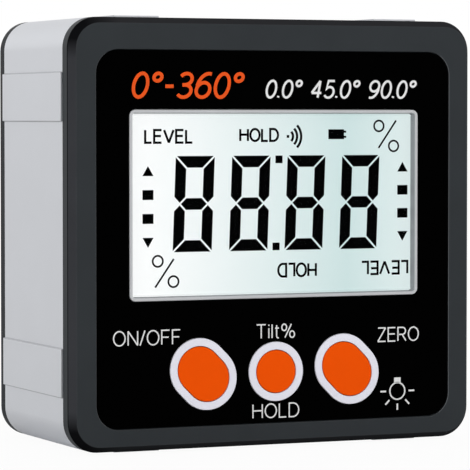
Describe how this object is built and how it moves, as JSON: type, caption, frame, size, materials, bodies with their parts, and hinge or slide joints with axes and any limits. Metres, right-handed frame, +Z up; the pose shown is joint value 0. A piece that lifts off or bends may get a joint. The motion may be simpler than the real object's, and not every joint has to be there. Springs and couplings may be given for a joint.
{
  "type": "digital angle gauge",
  "caption": "Box-shaped digital angle gauge with an extruded aluminium frame, a segment display, orange push keys and a battery door in the back.",
  "frame": {"origin": "middle of the footprint, level with the faces of the lower pads", "axes": "+X to the right seen from the front, the display faces -Y, +Z up"},
  "size_m": [0.0636, 0.03, 0.0616],
  "materials": {
    "bezel_plastic": "fine spark-eroded texture",
    "panel_sheet": "smooth black sheet",
    "rim_plastic": "smooth pale grey",
    "clear_pane": "clear and polished",
    "display_image": "dark image",
    "display_sheet": "pale grey-green",
    "display_glass": "polished",
    "guide_plastic": "translucent white",
    "contact_rubber": "matte",
    "board": "green solder mask",
    "component_black": "moulded",
    "capacitor": "satin",
    "tin": "tin plate",
    "plunger_plastic": "smooth",
    "key_plastic": "satin orange",
    "collar_plastic": "satin pale grey",
    "frame_metal": "fine bead-blasted, anodised",
    "magnet": "nickel plated",
    "cover_plastic": "fine spark-eroded texture",
    "cell_sleeve": "printed sleeve",
    "red_insulation": "satin",
    "black_insulation": "satin",
    "screw_steel": "zinc plated"
  },
  "bodies": {
    "case": {"front_bezel": "bezel_plastic", "front_panel": "panel_sheet", "display_frame": "rim_plastic", "display_pane": "clear_pane", "lcd_segments": "display_image", "front_polariser": "display_sheet", "front_glass": "display_glass", "rear_glass": "display_glass", "rear_polariser": "display_sheet", "light_guide": "guide_plastic", "backlight_lamp": "guide_plastic", "contact_rubber": "contact_rubber", "main_board": "board", "controller_chip": "component_black", "tilt_sensor": "component_black", "clock_crystal": "tin", "chip_capacitors": "capacitor", "sounder": "component_black", "switch_bases": "component_black", "power_collar": "collar_plastic", "hold_collar": "collar_plastic", "zero_collar": "collar_plastic", "board_screws": "screw_steel", "extruded_frame": "frame_metal", "base_magnets": "magnet", "back_cover": "cover_plastic", "upper_cell": "cell_sleeve", "lower_cell": "cell_sleeve", "contact_springs": "tin", "negative_contact": "tin", "positive_contact": "tin", "bridge_contact": "tin", "red_lead": "red_insulation", "black_lead": "black_insulation", "case_screws": "screw_steel"},
    "power_button": {"power_key": "key_plastic", "power_plunger": "plunger_plastic"},
    "hold_button": {"hold_key": "key_plastic", "hold_plunger": "plunger_plastic"},
    "zero_button": {"zero_key": "key_plastic", "zero_plunger": "plunger_plastic"},
    "door": {"battery_door": "cover_plastic"}
  },
  "joints": [
    {"name": "power_press", "type": "slide", "parent": "case", "child": "power_button", "axis": [0, 1, 0], "range_m": [0, 0.0005], "stiffness_N_per_m": 1500},
    {"name": "hold_press", "type": "slide", "parent": "case", "child": "hold_button", "axis": [0, 1, 0], "range_m": [0, 0.0005], "stiffness_N_per_m": 1500},
    {"name": "zero_press", "type": "slide", "parent": "case", "child": "zero_button", "axis": [0, 1, 0], "range_m": [0, 0.0005], "stiffness_N_per_m": 1500},
    {"name": "door_hinge", "type": "hinge", "parent": "case", "child": "door", "pos_m": [0, 0.0139, 0.0435], "axis": [1, 0, 0], "range_deg": [0, 85]}
  ]
}
